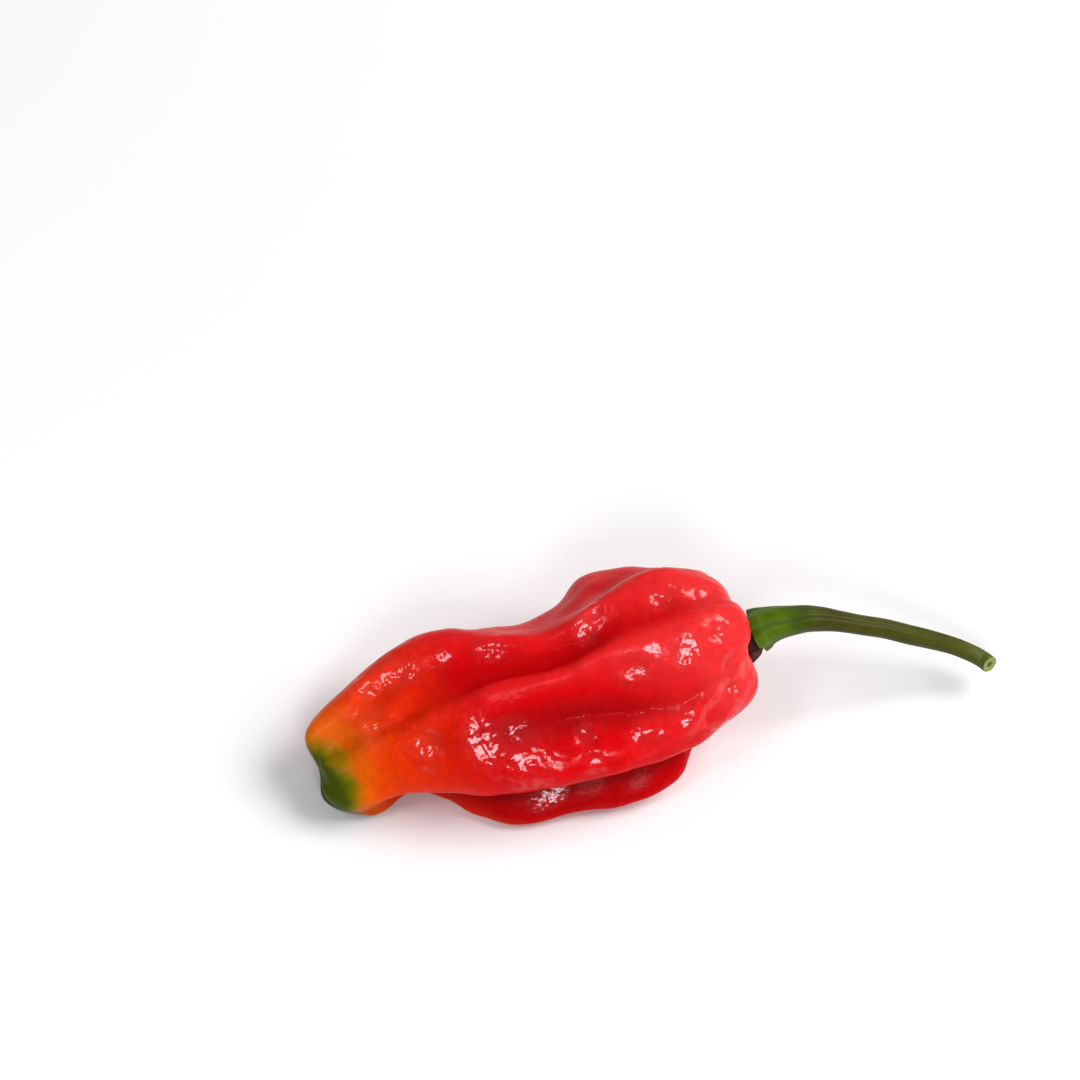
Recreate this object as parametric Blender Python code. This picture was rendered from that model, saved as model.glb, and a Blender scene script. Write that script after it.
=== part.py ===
"""A folded, elongated pepper lying on a flat surface, with its stem and calyx.

The fruit runs along X, its rounded tip at -X and its stem at +X, and +Z is up. The
origin is on the surface it lies on, under the middle of the whole pepper's box.

The fruit is a loft. Ridges, creases and grooves run along it as named feature lines, each
given by its place across the fruit at a row of stations. At any x, the section passes
smoothly through all the feature lines, in polar form about the fruit's middle line.
"""

import bpy
import bmesh
import numpy as np

MM = 0.001
OBJECT_NAME = "arroz_con_pollo_pepper"

# Where the origin lies in the tables below, in mm along the fruit and towards its back.
ORIGIN_X = -1.3
ORIGIN_Y = -2.3

# Stations along the fruit, in mm, from the tip to the shoulder.
STATIONS = (-51, -46, -41, -36, -31, -25, -17, -12, -7, 0, 3, 10)
# The middle line at each station: mm towards the back, then mm above the surface.
MIDDLE = (
    (-1.0, -0.8, -0.4, -0.4, -1.0, -2.0, -2.5, -2.5, -2.5, -2.5, -3.0, -3.5),
    (6.5, 7.3, 8.2, 9.2, 10.0, 11.0, 12.0, 12.5, 13.0, 14.0, 14.3, 15.5),
)
# Feature lines in their order round the fruit, from the top towards the front, written as the
# middle line is. Heights under 0 are cut flat: the fruit rests there.
FEATURES = {
    "upper_ridge": (
        (3.4, 4.9, 6.4, 7.1, 6.7, 4.4, 1.2, 1.5, 2.1, 4.2, 4.4, 3.4),
        (13.2, 15.3, 17.3, 19.2, 20.6, 21.8, 23.4, 25.3, 27.2, 28.4, 28.4, 25.8),
    ),
    "upper_hollow": (
        (1.5, 2.4, 3.2, 3.9, 3.6, 2.2, 0.0, 0.4, 0.9, 1.6, 1.7, 1.2),
        (12.0, 13.9, 15.9, 18.1, 19.8, 21.1, 22.6, 24.7, 26.9, 28.2, 28.2, 26.7),
    ),
    "small_ridge": (
        (0.0, -0.5, -0.8, 0.2, 0.3, -0.3, -1.6, -1.3, -0.8, -0.3, -0.2, -0.5),
        (11.2, 13.6, 15.9, 17.6, 19.1, 20.5, 21.6, 23.5, 25.8, 27.6, 27.8, 26.9),
    ),
    "crease": (
        (-1.5, -2.1, -2.8, -2.4, -2.1, -2.3, -3.4, -3.4, -2.9, -2.7, -2.5, -2.8),
        (10.0, 12.6, 14.8, 17.4, 19.2, 20.8, 21.6, 23.3, 25.4, 27.1, 27.5, 26.9),
    ),
    "front_ridge": (
        (-3.8, -4.0, -4.2, -4.7, -4.8, -5.1, -6.1, -6.1, -5.5, -5.3, -4.9, -4.9),
        (10.8, 13.0, 15.7, 18.5, 21.2, 23.2, 24.0, 25.8, 26.8, 27.9, 28.3, 28.0),
    ),
    "ridge_shoulder": (
        (-5.3, -5.5, -5.9, -6.6, -7.2, -7.5, -8.5, -8.7, -8.8, -9.7, -9.9, -9.2),
        (10.4, 12.3, 14.8, 17.3, 19.6, 21.2, 21.6, 22.7, 23.8, 24.7, 25.2, 25.7),
    ),
    "front_hollow": (
        (-7.0, -7.0, -7.2, -8.6, -9.6, -10.0, -10.8, -11.3, -12.5, -13.9, -13.5, -11.8),
        (9.2, 11.2, 13.5, 15.7, 17.6, 18.0, 17.8, 17.5, 17.9, 19.2, 20.3, 21.9),
    ),
    "front_shelf": (
        (-8.7, -8.9, -9.6, -11.3, -12.8, -14.0, -15.2, -16.2, -16.9, -17.0, -16.4, -14.4),
        (7.5, 9.2, 11.5, 13.3, 14.9, 15.7, 16.1, 16.4, 16.8, 17.4, 17.9, 18.8),
    ),
    "front_bulge": (
        (-9.6, -9.8, -10.4, -12.6, -14.9, -16.9, -18.3, -18.7, -18.8, -18.2, -17.6, -15.7),
        (5.2, 6.5, 8.4, 10.0, 11.4, 12.4, 12.8, 12.9, 13.3, 14.3, 14.8, 15.5),
    ),
    "front_brim": (
        (-9.4, -9.5, -9.8, -12.1, -14.4, -16.5, -18.0, -18.4, -18.4, -17.9, -17.2, -14.4),
        (4.0, 5.1, 6.4, 7.2, 7.8, 8.8, 10.4, 10.7, 10.9, 11.4, 11.8, 12.2),
    ),
    "front_groove": (
        (-8.8, -8.6, -7.6, -8.4, -9.8, -12.0, -13.0, -13.3, -13.5, -13.0, -13.0, -12.2),
        (2.8, 4.0, 4.9, 5.3, 5.9, 6.7, 7.7, 8.1, 8.5, 9.2, 9.6, 10.0),
    ),
    "low_lobe": (
        (-7.6, -9.9, -7.5, -9.6, -15.5, -18.5, -18.9, -19.8, -20.2, -17.5, -13.5, -11.5),
        (1.4, 2.4, 2.9, 2.6, 2.4, 2.8, 3.4, 3.8, 4.2, 4.6, 6.2, 6.6),
    ),
    "front_belly": (
        (-5.0, -5.5, -5.0, -7.0, -11.0, -13.0, -14.0, -14.0, -14.0, -12.0, -8.5, -8.0),
        (0.5, 0.9, 1.3, 0.5, -0.2, -0.4, -0.4, -0.4, -0.4, 0.6, 3.6, 6.5),
    ),
    "belly_groove": (
        (-1.0, -1.5, -1.0, -1.5, -2.8, -3.7, -4.0, -3.8, -3.5, -3.0, -2.5, -3.0),
        (1.6, 2.3, 3.0, 3.4, 4.0, 4.6, 5.0, 5.2, 5.5, 6.0, 6.0, 7.0),
    ),
    "back_belly": (
        (3.0, 3.5, 4.0, 5.0, 5.3, 5.8, 7.0, 7.7, 8.0, 8.0, 7.0, 4.0),
        (1.0, 1.0, 1.0, 0.6, 0.0, -0.4, -0.4, -0.4, -0.4, 0.5, 2.2, 6.0),
    ),
    "back_groove": (
        (5.8, 6.6, 7.2, 7.7, 8.0, 8.2, 8.7, 9.0, 9.3, 9.4, 8.7, 6.7),
        (4.5, 5.2, 6.2, 7.0, 7.6, 8.2, 8.4, 8.6, 8.8, 9.6, 10.4, 12.2),
    ),
    "back_lobe": (
        (7.4, 8.8, 10.6, 11.8, 12.0, 11.0, 10.2, 11.2, 14.4, 13.4, 12.1, 9.6),
        (9.6, 10.0, 11.4, 12.6, 13.4, 13.8, 13.4, 14.0, 16.4, 16.9, 16.8, 17.6),
    ),
    "top_groove": (
        (5.8, 7.8, 9.6, 10.6, 10.2, 7.6, 4.8, 5.2, 6.4, 8.2, 7.8, 7.0),
        (12.2, 13.6, 15.6, 17.2, 18.8, 19.6, 20.6, 22.0, 23.3, 23.2, 23.2, 22.4),
    ),
}
SECTION_SOFTNESS = 0.7  # mm round the section over which its corners are softened
STATION_SOFTNESS = 1.5  # mm along the fruit over which its stations are softened

# Each rounded end: the x of its pole, how far it takes to close, how square it is, and the
# pole's place across the fruit.
TIP_X, TIP_LENGTH, TIP_SQUARENESS = -53.2, 6.5, 2.7
TIP_POLE = (-1.6, 7.2)
SHOULDER_X, SHOULDER_LENGTH, SHOULDER_SQUARENESS = 12.7, 7.4, 3.2
SHOULDER_POLE = (-3.2, 17.0)
# How far the lobes reach past the pole at either end, in mm.
TIP_REACH = {
    "upper_ridge": 2.1,
    "crease": 0.0,
    "front_ridge": 0.7,
    "front_bulge": 1.9,
    "front_groove": 1.5,
    "low_lobe": 1.4,
    "front_belly": 1.0,
    "belly_groove": -0.4,
    "back_belly": -0.4,
    "back_groove": 0.7,
    "back_lobe": 1.8,
    "top_groove": 1.5,
}
SHOULDER_REACH = {
    "upper_ridge": 0.5,
    "crease": 1.2,
    "front_ridge": 1.6,
    "ridge_shoulder": 1.6,
    "front_hollow": 0.1,
    "front_shelf": 0.7,
    "front_bulge": 1.8,
    "front_brim": 1.2,
    "front_groove": 0.6,
    "low_lobe": 0.6,
    "back_lobe": 0.0,
}
REACH_SOFTNESS = 8.0  # degrees
POLE_ROUNDING = 0.4  # how quickly the folds fade towards a pole
POLE_SOFTNESS = 22.0  # degrees over which the folds are softened at a pole

FRUIT_COLUMNS = 88
FRUIT_BODY_ROWS = 52
FRUIT_END_ROWS = 7

# The stem's middle line: mm along the fruit, towards the back, and above the surface.
STEM_PATH = (
    (15.5, 16.9, 19.6, 22.6, 25.3, 28.2, 31.3, 35.1, 38.6, 42.3, 45.9, 48.4, 49.8, 50.4),
    (-3.3, -3.4, -4.0, -4.5, -4.9, -5.5, -6.2, -6.9, -7.8, -8.6, -9.5, -10.5, -11.7, -13.1),
    (16.85, 17.6, 18.6, 18.8, 18.2, 17.2, 15.9, 14.2, 12.4, 10.4, 8.3, 6.7, 6.1, 6.4),
)
# Its radius, in mm, at distances from the calyx, in mm.
STEM_DISTANCES = (0.0, 0.8, 2.2, 5.0, 8.0, 10.7, 13.8, 17.0, 26.0, 34.0, 41.5)
STEM_RADII = (3.25, 3.2, 2.8, 2.35, 2.05, 1.85, 1.6, 1.52, 1.5, 1.35, 1.33)
STEM_COLUMNS = 20
STEM_ROWS = 34
CALYX_TEETH = 5
TOOTH_DEPTH = 0.1  # share of the calyx radius
TOOTH_FADE = 2.0  # mm along the stem over which the teeth fade
RIB_DEPTH = 0.03  # share of the stem radius

# The dried scar between the shoulder and the calyx: the x of its back, its middle, its radius,
# and its tail's direction and size.
SCAR_BACK = 13.55
SCAR_GAP = 0.34  # mm between its front and the calyx
SCAR_EDGE = 0.5  # mm that it is thick at its rim
SCAR_MIDDLE = (-3.3, 15.4)
SCAR_RADIUS = 2.9
SCAR_WAVES = ((3, 0.16, 0.4), (7, 0.12, 2.1))  # waves round the rim, mm deep, phase
SCAR_TAIL_ANGLE = 148.0  # degrees from the top towards the front
SCAR_TAIL_LENGTH = 2.2
SCAR_TAIL_WIDTH = 24.0  # degrees
SCAR_FULL, SCAR_FADE = 2.65, 5.45  # mm from the calyx's middle where it starts and ends thinning
SCAR_COLUMNS = 48


def clear_scene():
    for obj in list(bpy.data.objects):
        bpy.data.objects.remove(obj, do_unlink=True)


def slopes(x, y, level_ends=True):
    """The slope at each point of y over x, along the last axis, that keeps a curve through the
    points from overshooting: the weighted harmonic mean of its neighbours' slopes, and 0 at
    each highest and lowest point. The ends are level, or go on as their nearest stretch."""
    step = np.diff(x)
    secant = np.diff(y) / step
    before, after = secant[..., :-1], secant[..., 1:]
    near = 2 * step[..., 1:] + step[..., :-1]
    far = step[..., 1:] + 2 * step[..., :-1]
    same_way = before * after > 0
    before = np.where(same_way, before, 1.0)
    after = np.where(same_way, after, 1.0)
    inner = np.where(same_way, (near + far) / (near / before + far / after), 0.0)
    ends = 0 if level_ends else 1
    return np.concatenate([ends * secant[..., :1], inner, ends * secant[..., -1:]], axis=-1)


def hermite(share, span, low, high, low_slope, high_slope):
    """The cubic between two values with given slopes, at a share of the span between them."""
    square, cube = share**2, share**3
    return (
        (2 * cube - 3 * square + 1) * low
        + (cube - 2 * square + share) * span * low_slope
        + (3 * square - 2 * cube) * high
        + (cube - square) * span * high_slope
    )


def smooth_through(x, y, at, level_ends=True):
    """A smooth curve through y over x, along the last axis, read at each place in at."""
    slope = slopes(x, y, level_ends)
    at = np.clip(at, x[0], x[-1])
    i = np.clip(np.searchsorted(x, at, side="right") - 1, 0, len(x) - 2)
    span = x[i + 1] - x[i]
    share = (at - x[i]) / span
    return hermite(share, span, y[..., i], y[..., i + 1], slope[..., i], slope[..., i + 1])


def soften(rows, degrees):
    """Each row, which runs once round the fruit, blurred by a bell curve this many degrees wide:
    one width for all of them, or a column with one for each."""
    count = rows.shape[-1]
    waves = np.fft.rfftfreq(count, 1 / count)
    fade = np.exp(-0.5 * (waves * np.radians(degrees)) ** 2)
    return np.fft.irfft(np.fft.rfft(rows) * fade, count)


def feature_lines(x):
    """Angle from the top towards the front and radius of every feature line at each x, and the
    middle line there."""
    stations = np.array(STATIONS, float)
    middle = np.array(MIDDLE)
    offset = np.array(list(FEATURES.values())) - middle
    angle = np.arctan2(-offset[:, 0], offset[:, 1])
    first = np.unwrap(angle[0])
    angle = first + (angle - first) % (2 * np.pi)
    radius = np.hypot(offset[:, 0], offset[:, 1])

    def read(values):
        near = smooth_through(stations, values, x - STATION_SOFTNESS)
        far = smooth_through(stations, values, x + STATION_SOFTNESS)
        return (near + 2 * smooth_through(stations, values, x) + far) / 4

    return read(angle), read(radius), read(middle)


def section_radius(angle, radius, columns):
    """The section's radius in each column's direction, passing smoothly through the lines."""
    turn = 2 * np.pi
    angle = np.concatenate([angle[-2:] - turn, angle, angle[:2] + turn])
    radius = np.concatenate([radius[-2:], radius, radius[:2]])
    at = angle[2] + (columns - angle[2]) % turn
    i = np.searchsorted(angle, at, side="right") - 1
    slope = slopes(angle, radius)
    span = angle[i + 1] - angle[i]
    share = (at - angle[i]) / span
    return hermite(share, span, radius[i], radius[i + 1], slope[i], slope[i + 1])


def reach_round(reach, angle, columns):
    """How far the end reaches along X in each column's direction."""
    values = np.array([reach.get(name, 0.0) for name in FEATURES])
    turned = angle % (2 * np.pi)
    order = np.argsort(turned)
    return soften(np.interp(columns, turned[order], values[order], period=2 * np.pi), REACH_SOFTNESS)


def end_profile(length, squareness):
    """Distance from the pole along the fruit, and share of the full section, from the pole."""
    turn = np.linspace(0, np.pi / 2, FRUIT_END_ROWS + 1)
    along = length * (1 - np.cos(turn))
    share = (1 - np.cos(turn) ** squareness) ** (1 / squareness)
    return along, share


def fruit_rings():
    """Rows of points from the tip's pole to the shoulder's, each once round the fruit."""
    tip_along, tip_share = end_profile(TIP_LENGTH, TIP_SQUARENESS)
    end_along, end_share = end_profile(SHOULDER_LENGTH, SHOULDER_SQUARENESS)
    tip_x = TIP_X + tip_along
    end_x = SHOULDER_X - end_along[::-1]
    body_x = np.linspace(tip_x[-1], end_x[0], FRUIT_BODY_ROWS)[1:-1]
    x = np.concatenate([tip_x, body_x, end_x])
    share = np.concatenate([tip_share, np.ones(len(body_x)), end_share[::-1]])[:, None]

    columns = np.arange(FRUIT_COLUMNS) * 2 * np.pi / FRUIT_COLUMNS
    angle, radius, middle = feature_lines(x)
    rows = [section_radius(angle[:, i], radius[:, i], columns) for i in range(len(x))]
    section = np.array(rows)
    mean = section.mean(axis=1, keepdims=True)
    fold = soften(section, np.degrees(SECTION_SOFTNESS / mean)) - mean
    near_pole = soften(fold, POLE_SOFTNESS)
    fold = (near_pole + (fold - near_pole) * share**2) * share**POLE_ROUNDING
    section = share * (mean + fold)

    at_tip = (x < 0)[:, None]
    pole = np.where(at_tip, np.array(TIP_POLE), np.array(SHOULDER_POLE))
    middle = pole + (middle.T - pole) * share
    tip_reach = -reach_round(TIP_REACH, angle[:, 0], columns)
    end_reach = reach_round(SHOULDER_REACH, angle[:, -1], columns)
    swell = 6.75 * share**2 * (1 - share)  # 0 at the pole and the full section, 1 at two thirds

    rings = np.empty((len(x), FRUIT_COLUMNS, 3))
    rings[..., 0] = x[:, None] + swell * np.where(at_tip, tip_reach, end_reach)
    rings[..., 1] = middle[:, :1] - section * np.sin(columns)
    rings[..., 2] = np.maximum(middle[:, 1:] + section * np.cos(columns), 0)
    return rings


def stem_rings():
    """Rows of points round the stem's middle line, from the calyx's underside to the cut end."""
    path = np.array(STEM_PATH)
    distance = np.concatenate([[0], np.cumsum(np.linalg.norm(np.diff(path), axis=0))])
    at = distance[-1] * np.linspace(0, 1, STEM_ROWS) ** 1.5
    centre = smooth_through(distance, path, at, level_ends=False).T
    along = np.gradient(centre, at, axis=0)
    along /= np.linalg.norm(along, axis=1, keepdims=True)
    side = np.cross(along, (0, 0, 1))
    side /= np.linalg.norm(side, axis=1, keepdims=True)
    up = np.cross(side, along)

    radius = smooth_through(np.array(STEM_DISTANCES), np.array(STEM_RADII), at)
    turn = np.arange(STEM_COLUMNS) * 2 * np.pi / STEM_COLUMNS
    lobed = np.cos(CALYX_TEETH * turn)
    depth = RIB_DEPTH + (TOOTH_DEPTH - RIB_DEPTH) * np.exp(-at / TOOTH_FADE)
    radius = radius[:, None] * (1 + depth[:, None] * lobed)
    out = side[:, None] * np.sin(turn)[:, None] + up[:, None] * np.cos(turn)[:, None]
    rings = centre[:, None] + radius[..., None] * out
    ends = [np.repeat(centre[i][None, None], STEM_COLUMNS, axis=1) for i in (0, -1)]
    return np.concatenate([ends[0], rings, ends[1]])


def scar_rings():
    """Rows of points over the dried scar: a plug with a ragged rim and one tail. Its back is
    upright. Its front lies along the calyx's tilted underside, a gap away, and past the calyx
    it falls back to a thin edge."""
    turn = np.arange(SCAR_COLUMNS) * 2 * np.pi / SCAR_COLUMNS
    off = (np.degrees(turn) - SCAR_TAIL_ANGLE + 180) % 360 - 180
    rim = SCAR_RADIUS + SCAR_TAIL_LENGTH * np.exp(-((off / SCAR_TAIL_WIDTH) ** 2))
    for count, depth, phase in SCAR_WAVES:
        rim += depth * np.cos(count * turn + phase)
    shares = np.array((0.0, 0.55, 0.9, 1.0, 0.93, 0.75, 0.55, 0.35, 0.15, 0.0))
    heights = np.array((0.0, 0.0, 0.0, 0.5, 1.0, 1.0, 1.0, 1.0, 1.0, 1.0))
    radius = shares[:, None] * rim
    rings = np.empty((len(shares), SCAR_COLUMNS, 3))
    rings[..., 1] = SCAR_MIDDLE[0] - radius * np.sin(turn)
    rings[..., 2] = SCAR_MIDDLE[1] + radius * np.cos(turn)

    middle, ahead = np.array(STEM_PATH).T[:2]
    axis = (ahead - middle) / np.linalg.norm(ahead - middle)
    away = rings[..., 1:] - middle[1:]
    front = middle[0] - (away @ axis[1:] + SCAR_GAP) / axis[0]
    distance = np.linalg.norm(away, axis=-1)
    fade = np.clip((distance - SCAR_FULL) / (SCAR_FADE - SCAR_FULL), 0, 1)
    edge = SCAR_BACK + SCAR_EDGE
    front = edge + np.maximum(front - edge, 0) * (1 - fade**2 * (3 - 2 * fade))
    rings[..., 0] = SCAR_BACK + heights[:, None] * (front - SCAR_BACK)
    return rings


def loft(name, rings, material, collection):
    """A closed mesh over rows of points in mm, whose first and last rows are each one point."""
    points = (rings - (ORIGIN_X, ORIGIN_Y, 0)) * MM
    mesh = bpy.data.meshes.new(name)
    shape = bmesh.new()
    rows = [[shape.verts.new(p) for p in row] for row in points[1:-1]]
    first, last = shape.verts.new(points[0, 0]), shape.verts.new(points[-1, 0])
    count = len(rows[0])
    for i in range(count):
        j = (i + 1) % count
        shape.faces.new((first, rows[0][i], rows[0][j]))
        shape.faces.new((last, rows[-1][j], rows[-1][i]))
        for near, far in zip(rows, rows[1:]):
            shape.faces.new((near[i], far[i], far[j], near[j]))
    bmesh.ops.recalc_face_normals(shape, faces=shape.faces)
    bmesh.ops.triangulate(shape, faces=shape.faces)
    shape.to_mesh(mesh)
    shape.free()
    mesh.materials.append(material)
    mesh.shade_smooth()
    obj = bpy.data.objects.new(name, mesh)
    collection.objects.link(obj)
    return obj


def make_material(name, colour, roughness, coat=0.0):
    material = bpy.data.materials.new(name)
    material.use_nodes = True
    shader = material.node_tree.nodes["Principled BSDF"]
    shader.inputs["Base Color"].default_value = (*colour, 1.0)
    shader.inputs["Roughness"].default_value = roughness
    shader.inputs["Metallic"].default_value = 0.0
    shader.inputs["Coat Weight"].default_value = coat
    material.diffuse_color = (*colour, 1.0)
    return material


def make_fruit(collection):
    skin = make_material("fruit_skin", (0.62, 0.012, 0.016), 0.28, coat=0.5)
    return loft("fruit", fruit_rings(), skin, collection)


def make_stem(collection):
    green = make_material("stem_green", (0.09, 0.16, 0.025), 0.5)
    stem = loft("stem", stem_rings(), green, collection)
    stem.data.set_sharp_from_angle(angle=np.radians(50))
    return stem


def make_calyx_scar(collection):
    cork = make_material("scar_brown", (0.05, 0.02, 0.012), 0.75)
    return loft("calyx_scar", scar_rings(), cork, collection)


def main():
    clear_scene()
    collection = bpy.data.collections.new(OBJECT_NAME)
    bpy.context.scene.collection.children.link(collection)
    make_fruit(collection)
    make_stem(collection)
    make_calyx_scar(collection)


main()
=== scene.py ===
"""A folded, elongated pepper on a pale floor: its fruit, its stem with the calyx, and the dried
ring between them, each worked out as a surface and lit by soft studio lights."""

import bpy
import numpy as np
from bpy.props import FloatProperty, FloatVectorProperty, PointerProperty
from bpy.types import Operator, Panel, PropertyGroup
from mathutils import Matrix


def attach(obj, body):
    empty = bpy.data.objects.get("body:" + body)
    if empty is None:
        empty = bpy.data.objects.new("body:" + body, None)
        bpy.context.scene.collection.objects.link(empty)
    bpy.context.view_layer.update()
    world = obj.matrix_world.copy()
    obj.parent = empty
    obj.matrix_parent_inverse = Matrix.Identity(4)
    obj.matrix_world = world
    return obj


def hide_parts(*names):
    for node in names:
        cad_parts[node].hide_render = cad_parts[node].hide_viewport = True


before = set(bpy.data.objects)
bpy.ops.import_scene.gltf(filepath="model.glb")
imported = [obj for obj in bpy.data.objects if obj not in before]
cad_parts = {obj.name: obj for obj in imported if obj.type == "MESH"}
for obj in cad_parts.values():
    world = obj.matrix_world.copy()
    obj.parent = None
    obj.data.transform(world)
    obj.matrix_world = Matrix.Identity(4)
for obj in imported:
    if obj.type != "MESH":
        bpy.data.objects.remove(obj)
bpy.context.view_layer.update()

bl_info = {
    "name": "Folded pepper",
    "version": (1, 0, 0),
    "blender": (4, 5, 0),
    "location": "3D View > Sidebar > Pepper",
    "description": "Makes a folded pepper with its stem and calyx, its floor and its lights",
    "category": "Object",
}

MM = 0.001

# Where the origin lies in the tables below, in mm along the fruit and towards its back.
ORIGIN = (-1.3, -2.3, 0.0)

# The camera: where it stands, how many pixels of the 1080 pixel picture a millimetre takes, and
# the pixel on which the tables' own zero point on the floor falls.
PICTURE_SIDE = 1080
VIEW_AZIMUTH = -17.0
VIEW_ELEVATION = 55.0
PIXELS_PER_MM = 6.5
VIEW_DISTANCE = 900.0
ZERO_PIXEL = (650.0, 700.0)
SENSOR_WIDTH = 36.0

# The lights: azimuth and elevation in degrees, distance and size in metres, watts and tint.
LIGHTS = {
    "key": (-13, 42, 1.2, (0.34, 0.26), 3.3, (0.93, 0.93, 1.0)),
    "left_key": (-66, 58, 1.2, (0.24, 0.22), 1.4, (0.93, 0.93, 1.0)),
    "right": (78, 50, 1.5, (1.0, 0.8), 15.8, (1.0, 1.0, 1.0)),
}
WORLD_STRENGTH = 0.29

# Stations along the fruit, in mm, from the tip to the shoulder.
STATIONS = (-51, -46, -41, -36, -31, -25, -17, -12, -7, 0, 3, 10)
# The middle line at each station: mm towards the back, then mm above the floor.
MIDDLE = (
    (-1.0, -0.8, -0.4, -0.4, -1.0, -2.0, -2.5, -2.5, -2.5, -2.5, -3.0, -3.5),
    (6.5, 7.3, 8.2, 9.2, 10.0, 11.0, 12.0, 12.5, 13.0, 14.0, 14.3, 15.5),
)
# Feature lines in their order round the fruit, from the top towards the front, written as the
# middle line is. Heights under 0 are pressed flat: the fruit rests there.
FEATURES = {
    "upper_ridge": (
        (3.4, 4.9, 6.4, 7.1, 6.7, 4.4, 1.2, 1.5, 2.1, 4.2, 4.4, 3.4),
        (13.2, 15.3, 17.3, 19.2, 20.6, 21.8, 23.4, 25.3, 27.2, 28.4, 28.4, 25.8),
    ),
    "upper_hollow": (
        (1.5, 2.4, 3.2, 3.9, 3.6, 2.2, 0.0, 0.4, 0.9, 1.6, 1.7, 1.2),
        (12.0, 13.9, 15.9, 18.1, 19.8, 21.1, 22.6, 24.7, 26.9, 28.2, 28.2, 26.7),
    ),
    "small_ridge": (
        (0.0, -0.5, -0.8, 0.2, 0.3, -0.3, -1.6, -1.3, -0.8, -0.3, -0.2, -0.5),
        (11.2, 13.6, 15.9, 17.6, 19.1, 20.5, 21.6, 23.5, 25.8, 27.6, 27.8, 26.9),
    ),
    "crease": (
        (-1.5, -2.1, -2.8, -2.4, -2.1, -2.3, -3.4, -3.4, -2.9, -2.7, -2.5, -2.8),
        (10.0, 12.6, 14.8, 17.4, 19.2, 20.8, 21.6, 23.3, 25.4, 27.1, 27.5, 26.9),
    ),
    "front_ridge": (
        (-3.8, -4.0, -4.2, -4.7, -4.8, -5.1, -6.1, -6.1, -5.5, -5.3, -4.9, -4.9),
        (10.8, 13.0, 15.7, 18.5, 21.2, 23.2, 24.0, 25.8, 26.8, 27.9, 28.3, 28.0),
    ),
    "ridge_shoulder": (
        (-5.3, -5.5, -5.9, -6.6, -7.2, -7.5, -8.5, -8.7, -8.8, -9.7, -9.9, -9.2),
        (10.4, 12.3, 14.8, 17.3, 19.6, 21.2, 21.6, 22.7, 23.8, 24.7, 25.2, 25.7),
    ),
    "front_hollow": (
        (-7.0, -7.0, -7.2, -8.6, -9.6, -10.0, -10.8, -11.3, -12.5, -13.9, -13.5, -11.8),
        (9.2, 11.2, 13.5, 15.7, 17.6, 18.0, 17.8, 17.5, 17.9, 19.2, 20.3, 21.9),
    ),
    "front_shelf": (
        (-8.7, -8.9, -9.6, -11.3, -12.8, -14.0, -15.2, -16.2, -16.9, -17.0, -16.4, -14.4),
        (7.5, 9.2, 11.5, 13.3, 14.9, 15.7, 16.1, 16.4, 16.8, 17.4, 17.9, 18.8),
    ),
    "front_bulge": (
        (-9.6, -9.8, -10.4, -12.6, -14.9, -16.9, -18.3, -18.7, -18.8, -18.2, -17.6, -15.7),
        (5.2, 6.5, 8.4, 10.0, 11.4, 12.4, 12.8, 12.9, 13.3, 14.3, 14.8, 15.5),
    ),
    "front_brim": (
        (-9.4, -9.5, -9.8, -12.1, -14.4, -16.5, -18.0, -18.4, -18.4, -17.9, -17.2, -14.4),
        (4.0, 5.1, 6.4, 7.2, 7.8, 8.8, 10.4, 10.7, 10.9, 11.4, 11.8, 12.2),
    ),
    "front_groove": (
        (-8.8, -8.6, -7.6, -8.4, -9.8, -12.0, -13.0, -13.3, -13.5, -13.0, -13.0, -12.2),
        (2.8, 4.0, 4.9, 5.3, 5.9, 6.7, 7.7, 8.1, 8.5, 9.2, 9.6, 10.0),
    ),
    "low_lobe": (
        (-7.6, -9.9, -7.5, -9.6, -15.5, -18.5, -18.9, -19.8, -20.2, -17.5, -13.5, -11.5),
        (1.4, 2.4, 2.9, 2.6, 2.4, 2.8, 3.4, 3.8, 4.2, 4.6, 6.2, 6.6),
    ),
    "front_belly": (
        (-5.0, -5.5, -5.0, -7.0, -11.0, -13.0, -14.0, -14.0, -14.0, -12.0, -8.5, -8.0),
        (0.5, 0.9, 1.3, 0.5, -0.2, -0.4, -0.4, -0.4, -0.4, 0.6, 3.6, 6.5),
    ),
    "belly_groove": (
        (-1.0, -1.5, -1.0, -1.5, -2.8, -3.7, -4.0, -3.8, -3.5, -3.0, -2.5, -3.0),
        (1.6, 2.3, 3.0, 3.4, 4.0, 4.6, 5.0, 5.2, 5.5, 6.0, 6.0, 7.0),
    ),
    "back_belly": (
        (3.0, 3.5, 4.0, 5.0, 5.3, 5.8, 7.0, 7.7, 8.0, 8.0, 7.0, 4.0),
        (1.0, 1.0, 1.0, 0.6, 0.0, -0.4, -0.4, -0.4, -0.4, 0.5, 2.2, 6.0),
    ),
    "back_groove": (
        (5.8, 6.6, 7.2, 7.7, 8.0, 8.2, 8.7, 9.0, 9.3, 9.4, 8.7, 6.7),
        (4.5, 5.2, 6.2, 7.0, 7.6, 8.2, 8.4, 8.6, 8.8, 9.6, 10.4, 12.2),
    ),
    "back_lobe": (
        (7.4, 8.8, 10.6, 11.8, 12.0, 11.0, 10.2, 11.2, 14.4, 13.4, 12.1, 9.6),
        (9.6, 10.0, 11.4, 12.6, 13.4, 13.8, 13.4, 14.0, 16.4, 16.9, 16.8, 17.6),
    ),
    "top_groove": (
        (5.8, 7.8, 9.6, 10.6, 10.2, 7.6, 4.8, 5.2, 6.4, 8.2, 7.8, 7.0),
        (12.2, 13.6, 15.6, 17.2, 18.8, 19.6, 20.6, 22.0, 23.3, 23.2, 23.2, 22.4),
    ),
}
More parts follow.
